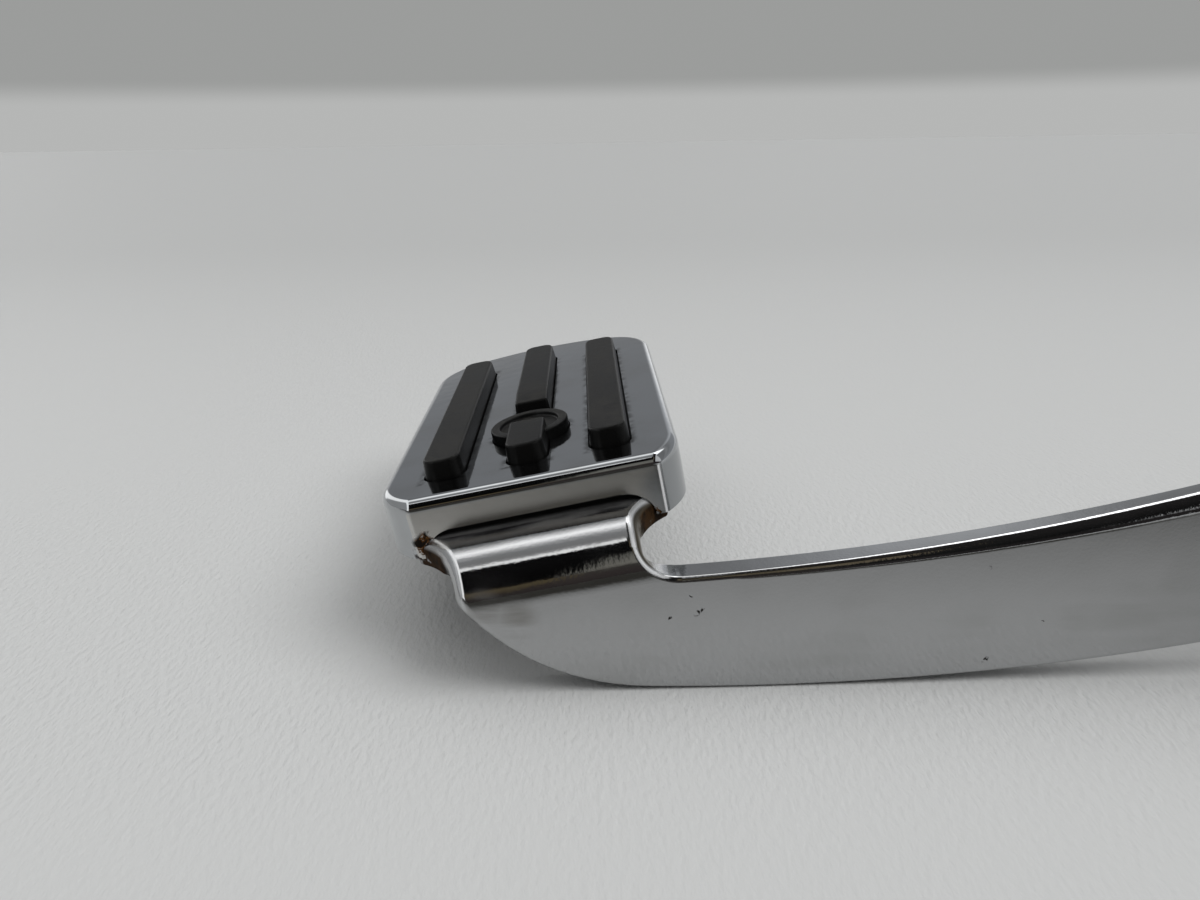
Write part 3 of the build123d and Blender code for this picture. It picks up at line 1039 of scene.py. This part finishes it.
# the thread's crest lies between two shares of its pitch
fixing = dict(
    top=22.1, seat=11.5, washer=12.0, washerThick=1.6, washerEdge=0.2, spring=10.0, springThick=1.5,
    nut=10.0, nutHigh=5.0, past=2.0, bore=6.1, pitch=1.0, threadDepth=0.45, threadTop=12.0,
    crest=(0.45, 0.55), slit=0.7, slitTurn=25.0, nutCorner=0.25, cornerStep=15.0, nutFlat=4.8,
    nutWide=6.0, nutPast=0.5, nutSlope=1.85, boreEdge=0.4, studSteps=48, washerSteps=64, coneSteps=72,
)
washerLow = fixing["seat"] - fixing["washerThick"]
springLow = washerLow - fixing["springThick"]
nutLow = springLow - fixing["nutHigh"]
studLow = nutLow - fixing["past"]


def copyToStuds(piece, node):
    (firstX, firstY), (secondX, secondY) = studPlaces()
    movePiece(piece, Matrix.Translation((firstX, firstY, 0)))
    edit(piece)
    bpy.ops.mesh.duplicate_move(TRANSFORM_OT_translate={"value": (secondX - firstX, secondY - firstY, 0)})
    outwards(piece)
    seatPiece(piece, node, zincFinish)


def makeStuds():
    q = fixing
    radius = studs["diameter"] / 2
    root = radius - q["threadDepth"]
    profile = [(0, studLow), (root, studLow)]
    for turn in range(int((q["threadTop"] - studLow) / q["pitch"])):
        low = studLow + turn * q["pitch"]
        profile += [(radius, low + q["pitch"] * place) for place in q["crest"]] + [(root, low + q["pitch"])]
    profile += [(radius, q["threadTop"] + q["threadDepth"]), (radius, q["top"]), (0, q["top"])]
    copyToStuds(turnProfile("coverStuds", profile, q["studSteps"]), "cover_studs")


def makeWasher(name, diameter, low, high):
    q = fixing
    profile = ringProfile(q["bore"] / 2, diameter / 2, low, high, q["washerEdge"], q["washerEdge"])
    return turnProfile(name, profile, q["washerSteps"])


def makeWashers():
    q = fixing
    copyToStuds(makeWasher("flatWashers", q["washer"], washerLow, q["seat"]), "flat_washers")
    spring = makeWasher("springWashers", q["spring"], springLow, washerLow)
    clearSelection()
    half = q["spring"] / 2
    bpy.ops.mesh.primitive_cube_add(
        size=1, location=(half, 0, (springLow + washerLow) / 2), rotation=(math.radians(q["slitTurn"]), 0, 0),
        scale=(half, q["slit"], q["springThick"] * 2))
    slit = bpy.context.object
    bpy.ops.object.transform_apply(location=True, rotation=True, scale=True)
    cutAway(spring, slit)
    copyToStuds(spring, "spring_washers")


def makeNuts():
    q = fixing
    sixth = 60
    corner = q["nutCorner"]
    reach = (q["nut"] / 2 - corner) / math.cos(math.radians(sixth / 2))
    arcs = []
    for start in range(0, 360, sixth):
        way = math.radians(start + sixth / 2)
        arcs.append((reach * math.cos(way), reach * math.sin(way), corner, start, start + sixth))
    nut = drawSolid("coverNuts", arcs, nutLow, springLow, q["cornerStep"])
    # the corners are turned off by a double cone that reaches past both ends
    past, wide = q["nutPast"], q["nutWide"]
    flat = q["nutFlat"] - past * q["nutSlope"]
    slope = (wide - flat) / q["nutSlope"] - past
    cone = [
        (0, nutLow - past), (flat, nutLow - past), (wide, nutLow + slope),
        (wide, springLow - slope), (flat, springLow + past), (0, springLow + past)]
    combine(nut, turnProfile("cone", cone, q["coneSteps"]), "INTERSECT")
    bore, edge = q["bore"] / 2, q["boreEdge"]
    mouth = bore + edge + overcut
    hole = [
        (0, nutLow - overcut), (mouth, nutLow - overcut), (bore, nutLow + edge),
        (bore, springLow - edge), (mouth, springLow + overcut), (0, springLow + overcut)]
    cutAway(nut, turnProfile("hole", hole, q["studSteps"]))
    copyToStuds(nut, "cover_nuts")


makeStuds()
makeWashers()
makeNuts()


# room: a world that reflections see as bands round the pedal's length, then lamp, floor and camera

world = bpy.data.worlds.new("studio")
world.use_nodes = True
bpy.context.scene.world = world
# bands are (degrees round the pedal's length, grey) or (degrees, red, green, blue), with 0 behind the pad,
# 90 above and 180 in front; each Range is of a reflected ray's part along x, where its bands take over
overPad = [(57, 0.9), (68, 1.8), (74, 1.3), (80, 0.62, 0.625, 0.63), (88, 0.33, 0.335, 0.34), (99, 0.3)]
overArm = [(51, 1.7), (64, 1.7)]
frontShade = [(160, 0.02, 0.018, 0.018), (172, 0.02, 0.018, 0.018)]
room = dict(
    overhead=(1.05, 1.055, 1.06, 1), level=(0.1, 0.1, 0.1, 1), overheadRange=(0.35, 0.95),
    wall=(0.33, 0.335, 0.33, 1), horizon=(0.465, 0.47, 0.465, 1), wallRange=(0.02, 0.045),
    left=(1.5, 1.5, 1.5, 1), leftRange=(-0.52, -0.46), outer=(0.4, 0.405, 0.41, 1), outerRange=(-0.76, -0.68),
    bright=1.1, brightRange=(0.06, 0.26), dim=0.8, dimRange=(0.26, 0.35),
    behind=[
        (-90, 0.3), (6, 0.5, 0.505, 0.51), (13, 0.25, 0.257, 0.268), (30, 0.26, 0.267, 0.278),
        (42, 0.2, 0.205, 0.21), (49, 0.28, 0.285, 0.29),
    ],
    pad=overPad + [
        (104, 0.5), (107, 1.4, 1.4, 1.38), (111, 1.4, 1.4, 1.38), (112.5, 0.005), (160, 0.003),
        (163, 0.12, 0.095, 0.055), (168, 0.11, 0.088, 0.05), (172, 0.045, 0.037, 0.034),
    ],
    pivotRange=(-0.2, -0.13), pivot=overPad + [
        (103, 0.25), (107, 0.004), (134, 0.003), (139, 0.2, 0.195, 0.175), (157, 0.26, 0.25, 0.22),
        (164, 0.06, 0.055, 0.05), (172, 0.055, 0.045, 0.043),
    ],
    armRange=(-0.02, 0.1), arm=overArm + [
        (67, 0.25, 0.24, 0.23), (70, 0.03, 0.028, 0.026), (106, 0.012, 0.011, 0.01), (113, 0.1, 0.083, 0.055),
        (134, 0.13, 0.108, 0.075), (142, 0.02, 0.018, 0.016), (172, 0.035, 0.03, 0.028),
    ],
    endRange=(0.165, 0.205), end=overArm + [
        (67, 0.2), (70, 0.012, 0.011, 0.011), (150, 0.006), (172, 0.02, 0.018, 0.018),
    ],
    neckRange=(0.37, 0.44), neck=overArm + [(72, 0.65), (150, 0.6)] + frontShade,
    farRange=(0.47, 0.55), far=[
        (57, 0.18, 0.182, 0.185), (80, 0.2, 0.202, 0.205), (95, 0.6), (150, 0.55)] + frontShade,
    infront=[(190, 0.03, 0.027, 0.026), (196, 0.2), (270, 0.3)],
)


def makeBands(tree, turn, side):
    bands = room["behind"] + room[side] + room["infront"]
    made = addNode(tree, "ValToRGB", {0: turn})
    stops = made.color_ramp.elements
    places = [(band[0] + 90) / 360 for band in bands]
    for place in places[1:-1]:
        stops.new(place)
    for stop, place, (_, *tint) in zip(stops, places, bands):
        stop.position = place
        stop.color = [*(tint if len(tint) == 3 else tint * 3), 1]
    return made.outputs[0]


# bright, dark and grey bands for reflections, plain light for everything else
def makeRoom():
    tree = world.node_tree
    x, y, z = axes(tree, coords(tree, "Generated"))
    turn = calc(tree, "SUBTRACT", 0.5, calc(tree, "DIVIDE", calc(tree, "ARCTAN2", y, z), math.tau))
    mirrored = makeBands(tree, turn, "pad")
    for side in ("pivot", "arm", "end", "neck", "far"):
        reached = ramp(tree, x, *room[side + "Range"])
        mirrored = mixColour(tree, reached, mirrored, makeBands(tree, turn, side))
    for side in ("left", "outer"):
        mirrored = mixColour(tree, ramp(tree, x, *room[side + "Range"]), room[side], mirrored)
    brighter = times(tree, ramp(tree, x, *room["brightRange"]), room["bright"])
    dimmer = times(tree, ramp(tree, x, *room["dimRange"]), room["dim"])
    strength = calc(tree, "ADD", calc(tree, "SUBTRACT", brighter, dimmer), 1.0)
    scaled = addNode(tree, "VectorMath", {0: mirrored, "Scale": strength}, operation="SCALE")
    rays = addNode(tree, "LightPath").outputs
    soft = mixColour(tree, ramp(tree, z, *room["overheadRange"]), room["level"], room["overhead"])
    light = mixColour(tree, rays["Is Glossy Ray"], soft, scaled.outputs[0])
    wall = mixColour(tree, ramp(tree, z, *room["wallRange"]), room["horizon"], room["wall"])
    seen = mixColour(tree, rays["Is Camera Ray"], light, wall)
    tree.links.new(seen, tree.nodes["Background"].inputs["Color"])


makeRoom()

lamp = dict(lean=10.0, turn=38.0, spread=40.0, power=1.45)


def makeLamp():
    clearSelection()
    bpy.ops.object.light_add(type="SUN", rotation=(math.radians(lamp["lean"]), math.radians(lamp["turn"]), 0))
    light = bpy.context.object
    light.data.angle = math.radians(lamp["spread"])
    light.data.energy = lamp["power"]
    light.visible_glossy = False


makeLamp()

floor = dict(
    size=8.0, colour=(0.56, 0.565, 0.56, 1), far=(0.475, 0.48, 0.475, 1), farRange=(0.08, 0.6), rough=0.7,
    grain=(1000.0, 2.0, (1, 0.45, 1)), grainDepth=0.00036, grainNear=(-0.03, 0.012), grainLost=(0.05, 0.13),
    grainLeast=0.35, beyond=(0.03, 0.028, 0.022, 1), endRange=(-0.095, 0.02), paleRange=(-0.03, 0.06),
    paleShare=0.85,
)


def makeFloor():
    clearSelection()
    bpy.ops.mesh.primitive_plane_add(size=floor["size"], location=(0, 0, cadBox[0].z))
    plane = bpy.context.object
    plane.name = "floor"
    finish, tree, shader, place = newFinish("paleFloor", 0.0)
    shader.inputs["Roughness"].default_value = floor["rough"]
    along, across, _ = axes(tree, place)
    # painted dark reflection: reflections alone see the floor go dark from a hand's breadth in front of the
    # pedal, mostly lifted past the pivot end
    pale = times(tree, ramp(tree, along, *floor["paleRange"]), floor["paleShare"])
    ended = times(tree, flip(tree, ramp(tree, across, *floor["endRange"])), flip(tree, pale))
    dark = times(tree, ended, addNode(tree, "LightPath").outputs["Is Glossy Ray"])
    # painted shade: the floor's colour grows darker further back from the camera
    colour = mixColour(tree, ramp(tree, across, *floor["farRange"]), floor["colour"], floor["far"])
    colour = mixColour(tree, dark, colour, floor["beyond"])
    clear = flip(tree, ramp(tree, across, *floor["grainLost"]))
    clear = times(tree, clear, ramp(tree, across, *floor["grainNear"]))
    clear = mixValue(tree, clear, floor["grainLeast"], 1.0)
    grain = mixValue(tree, clear, noiseMean, noise(tree, place, *floor["grain"]))
    feed(tree, shader, Base_Color=colour, Normal=bump(tree, grain, floor["grainDepth"]))
    plane.data.materials.append(finish)


makeFloor()

view = dict(
    eye=(-161.756, -104.582, 43.968), right=(0.99962, -0.02329, -0.01468),
    down=(-0.02188, -0.34821, -0.93716), forward=(0.01671, 0.93713, -0.34859), lens=26.4, sensor=36.0,
    clipStart=0.005,
)


def makeCamera():
    clearSelection()
    bpy.ops.object.camera_add()
    camera = bpy.context.object
    right, up, back = Vector(view["right"]), -Vector(view["down"]), -Vector(view["forward"])
    turn = Matrix((right, up, back)).transposed().to_4x4()
    camera.matrix_world = Matrix.Translation(Vector(view["eye"]) * mm) @ turn
    camera.data.lens = view["lens"]
    camera.data.sensor_width = view["sensor"]
    camera.data.clip_start = view["clipStart"]
    bpy.context.scene.camera = camera


makeCamera()
bpy.context.scene.view_settings.view_transform = "Standard"
print("room, lamp, floor and camera set")
